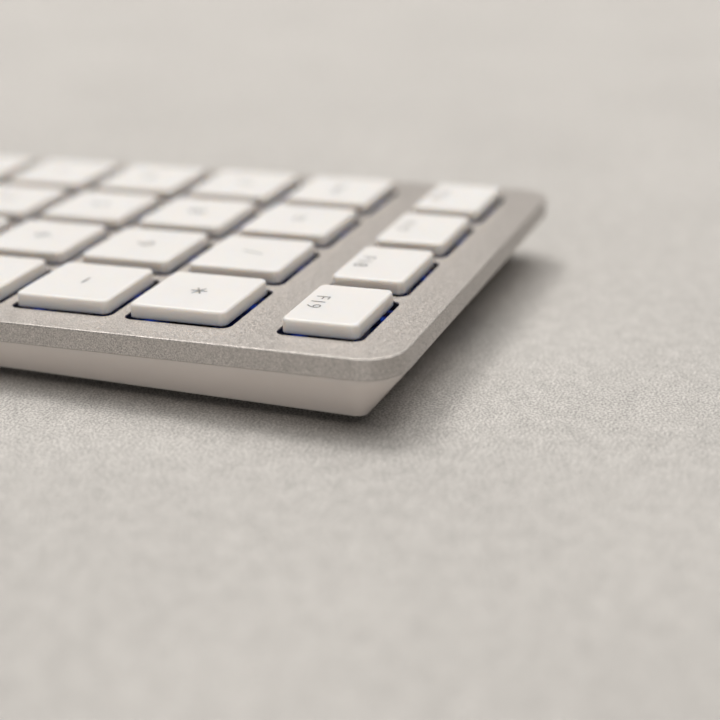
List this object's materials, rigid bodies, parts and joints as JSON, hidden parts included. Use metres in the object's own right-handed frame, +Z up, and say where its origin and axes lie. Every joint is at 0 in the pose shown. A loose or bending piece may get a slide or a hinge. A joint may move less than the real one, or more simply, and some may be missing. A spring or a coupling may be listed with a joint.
{
  "type": "numeric keypad",
  "caption": "Slim wired numeric keypad with low square keys, silver top cover, tapered white base and USB-C socket at the rear.",
  "frame": {"origin": "on the desk, under the centre of the top cover's outline", "axes": "+X to the user's right, +Y away from the user towards the rear edge, +Z up from the desk"},
  "size_m": [0.086, 0.1301, 0.0136],
  "materials": {
    "key_plastic": "fine satin moulding with printed grey legends",
    "silver_paint": "warm silver with fine metallic flake",
    "white_gloss_plastic": "polished white",
    "sheet_steel": "plated sheet steel",
    "blue_film": "translucent blue polyester film",
    "clear_film": "clear polyester film",
    "silicone": "milky silicone",
    "scissor_plastic": "black acetal",
    "spring_wire": "bright spring wire",
    "circuit_board": "green solder mask",
    "chip_plastic": "black epoxy",
    "tinned_metal": "bright tin plating",
    "ceramic": "brown ceramic with tinned ends",
    "clamp_plastic": "black glass-filled plastic",
    "screw_steel": "black zinc-plated steel",
    "contact_gold": "gold plating",
    "foot_rubber": "grey rubber"
  },
  "bodies": {
    "case": {"top_cover": "silver_paint", "base_shell": "white_gloss_plastic", "support_plate": "sheet_steel", "membrane_top": "blue_film", "membrane_spacer": "clear_film", "membrane_bottom": "clear_film", "rubber_domes": "silicone", "scissor_outer_frames": "scissor_plastic", "scissor_inner_frames": "scissor_plastic", "controller_board": "circuit_board", "controller_chip": "chip_plastic", "crystal_can": "tinned_metal", "board_components": "ceramic", "membrane_clamp": "clamp_plastic", "board_screws": "screw_steel", "usb_c_socket": "tinned_metal", "usb_c_tongue": "clamp_plastic", "usb_c_contacts": "contact_gold", "case_screws": "screw_steel", "rubber_feet": "foot_rubber"},
    "key_f16": {"key_f16": "key_plastic"},
    "key_f17": {"key_f17": "key_plastic"},
    "key_f18": {"key_f18": "key_plastic"},
    "key_f19": {"key_f19": "key_plastic"},
    "key_clear": {"key_clear": "key_plastic"},
    "key_equals": {"key_equals": "key_plastic"},
    "key_divide": {"key_divide": "key_plastic"},
    "key_multiply": {"key_multiply": "key_plastic"},
    "key_7": {"key_7": "key_plastic"},
    "key_8": {"key_8": "key_plastic"},
    "key_9": {"key_9": "key_plastic"},
    "key_minus": {"key_minus": "key_plastic"},
    "key_4": {"key_4": "key_plastic"},
    "key_5": {"key_5": "key_plastic"},
    "key_6": {"key_6": "key_plastic"},
    "key_plus": {"key_plus": "key_plastic"},
    "key_1": {"key_1": "key_plastic"},
    "key_2": {"key_2": "key_plastic"},
    "key_3": {"key_3": "key_plastic"},
    "key_enter": {"key_enter": "key_plastic"},
    "key_0": {"key_0": "key_plastic"},
    "key_decimal": {"key_decimal": "key_plastic"},
    "enter_wire": {"enter_stabiliser": "spring_wire"},
    "zero_wire": {"zero_stabiliser": "spring_wire"}
  },
  "joints": [
    {"name": "key_f16_press", "type": "slide", "parent": "case", "child": "key_f16", "axis": [0, 0.0304, -0.9995], "range_m": [0, 0.002], "stiffness_N_per_m": 200, "springref_m": -0.0015, "deforming": ["rubber_domes", "scissor_outer_frames", "scissor_inner_frames"]},
    {"name": "key_f17_press", "type": "slide", "parent": "case", "child": "key_f17", "axis": [0, 0.0304, -0.9995], "range_m": [0, 0.002], "stiffness_N_per_m": 200, "springref_m": -0.0015, "deforming": ["rubber_domes", "scissor_outer_frames", "scissor_inner_frames"]},
    {"name": "key_f18_press", "type": "slide", "parent": "case", "child": "key_f18", "axis": [0, 0.0304, -0.9995], "range_m": [0, 0.002], "stiffness_N_per_m": 200, "springref_m": -0.0015, "deforming": ["rubber_domes", "scissor_outer_frames", "scissor_inner_frames"]},
    {"name": "key_f19_press", "type": "slide", "parent": "case", "child": "key_f19", "axis": [0, 0.0304, -0.9995], "range_m": [0, 0.002], "stiffness_N_per_m": 200, "springref_m": -0.0015, "deforming": ["rubber_domes", "scissor_outer_frames", "scissor_inner_frames"]},
    {"name": "key_clear_press", "type": "slide", "parent": "case", "child": "key_clear", "axis": [0, 0.0304, -0.9995], "range_m": [0, 0.002], "stiffness_N_per_m": 200, "springref_m": -0.0015, "deforming": ["rubber_domes", "scissor_outer_frames", "scissor_inner_frames"]},
    {"name": "key_equals_press", "type": "slide", "parent": "case", "child": "key_equals", "axis": [0, 0.0304, -0.9995], "range_m": [0, 0.002], "stiffness_N_per_m": 200, "springref_m": -0.0015, "deforming": ["rubber_domes", "scissor_outer_frames", "scissor_inner_frames"]},
    {"name": "key_divide_press", "type": "slide", "parent": "case", "child": "key_divide", "axis": [0, 0.0304, -0.9995], "range_m": [0, 0.002], "stiffness_N_per_m": 200, "springref_m": -0.0015, "deforming": ["rubber_domes", "scissor_outer_frames", "scissor_inner_frames"]},
    {"name": "key_multiply_press", "type": "slide", "parent": "case", "child": "key_multiply", "axis": [0, 0.0304, -0.9995], "range_m": [0, 0.002], "stiffness_N_per_m": 200, "springref_m": -0.0015, "deforming": ["rubber_domes", "scissor_outer_frames", "scissor_inner_frames"]},
    {"name": "key_7_press", "type": "slide", "parent": "case", "child": "key_7", "axis": [0, 0.0304, -0.9995], "range_m": [0, 0.002], "stiffness_N_per_m": 200, "springref_m": -0.0015, "deforming": ["rubber_domes", "scissor_outer_frames", "scissor_inner_frames"]},
    {"name": "key_8_press", "type": "slide", "parent": "case", "child": "key_8", "axis": [0, 0.0304, -0.9995], "range_m": [0, 0.002], "stiffness_N_per_m": 200, "springref_m": -0.0015, "deforming": ["rubber_domes", "scissor_outer_frames", "scissor_inner_frames"]},
    {"name": "key_9_press", "type": "slide", "parent": "case", "child": "key_9", "axis": [0, 0.0304, -0.9995], "range_m": [0, 0.002], "stiffness_N_per_m": 200, "springref_m": -0.0015, "deforming": ["rubber_domes", "scissor_outer_frames", "scissor_inner_frames"]},
    {"name": "key_minus_press", "type": "slide", "parent": "case", "child": "key_minus", "axis": [0, 0.0304, -0.9995], "range_m": [0, 0.002], "stiffness_N_per_m": 200, "springref_m": -0.0015, "deforming": ["rubber_domes", "scissor_outer_frames", "scissor_inner_frames"]},
    {"name": "key_4_press", "type": "slide", "parent": "case", "child": "key_4", "axis": [0, 0.0304, -0.9995], "range_m": [0, 0.002], "stiffness_N_per_m": 200, "springref_m": -0.0015, "deforming": ["rubber_domes", "scissor_outer_frames", "scissor_inner_frames"]},
    {"name": "key_5_press", "type": "slide", "parent": "case", "child": "key_5", "axis": [0, 0.0304, -0.9995], "range_m": [0, 0.002], "stiffness_N_per_m": 200, "springref_m": -0.0015, "deforming": ["rubber_domes", "scissor_outer_frames", "scissor_inner_frames"]},
    {"name": "key_6_press", "type": "slide", "parent": "case", "child": "key_6", "axis": [0, 0.0304, -0.9995], "range_m": [0, 0.002], "stiffness_N_per_m": 200, "springref_m": -0.0015, "deforming": ["rubber_domes", "scissor_outer_frames", "scissor_inner_frames"]},
    {"name": "key_plus_press", "type": "slide", "parent": "case", "child": "key_plus", "axis": [0, 0.0304, -0.9995], "range_m": [0, 0.002], "stiffness_N_per_m": 200, "springref_m": -0.0015, "deforming": ["rubber_domes", "scissor_outer_frames", "scissor_inner_frames"]},
    {"name": "key_1_press", "type": "slide", "parent": "case", "child": "key_1", "axis": [0, 0.0304, -0.9995], "range_m": [0, 0.002], "stiffness_N_per_m": 200, "springref_m": -0.0015, "deforming": ["rubber_domes", "scissor_outer_frames", "scissor_inner_frames"]},
    {"name": "key_2_press", "type": "slide", "parent": "case", "child": "key_2", "axis": [0, 0.0304, -0.9995], "range_m": [0, 0.002], "stiffness_N_per_m": 200, "springref_m": -0.0015, "deforming": ["rubber_domes", "scissor_outer_frames", "scissor_inner_frames"]},
    {"name": "key_3_press", "type": "slide", "parent": "case", "child": "key_3", "axis": [0, 0.0304, -0.9995], "range_m": [0, 0.002], "stiffness_N_per_m": 200, "springref_m": -0.0015, "deforming": ["rubber_domes", "scissor_outer_frames", "scissor_inner_frames"]},
    {"name": "key_enter_press", "type": "slide", "parent": "case", "child": "key_enter", "axis": [0, 0.0304, -0.9995], "range_m": [0, 0.002], "stiffness_N_per_m": 200, "springref_m": -0.0015, "deforming": ["rubber_domes", "scissor_outer_frames", "scissor_inner_frames"]},
    {"name": "key_0_press", "type": "slide", "parent": "case", "child": "key_0", "axis": [0, 0.0304, -0.9995], "range_m": [0, 0.002], "stiffness_N_per_m": 200, "springref_m": -0.0015, "deforming": ["rubber_domes", "scissor_outer_frames", "scissor_inner_frames"]},
    {"name": "key_decimal_press", "type": "slide", "parent": "case", "child": "key_decimal", "axis": [0, 0.0304, -0.9995], "range_m": [0, 0.002], "stiffness_N_per_m": 200, "springref_m": -0.0015, "deforming": ["rubber_domes", "scissor_outer_frames", "scissor_inner_frames"]},
    {"name": "enter_stabiliser_turn", "type": "hinge", "parent": "case", "child": "enter_wire", "pos_m": [0.02825, -0.03717, 0.00655], "axis": [0, -0.9995, -0.0304], "range_deg": [0, 22]},
    {"name": "zero_stabiliser_turn", "type": "hinge", "parent": "case", "child": "zero_wire", "pos_m": [-0.01905, -0.04636, 0.00627], "axis": [-1, 0, 0], "range_deg": [0, 22]}
  ],
  "couplings": [
    {"joint": "enter_stabiliser_turn", "follows": "key_enter_press", "rad_per_m": 190.96},
    {"joint": "zero_stabiliser_turn", "follows": "key_0_press", "rad_per_m": 190.96}
  ]
}
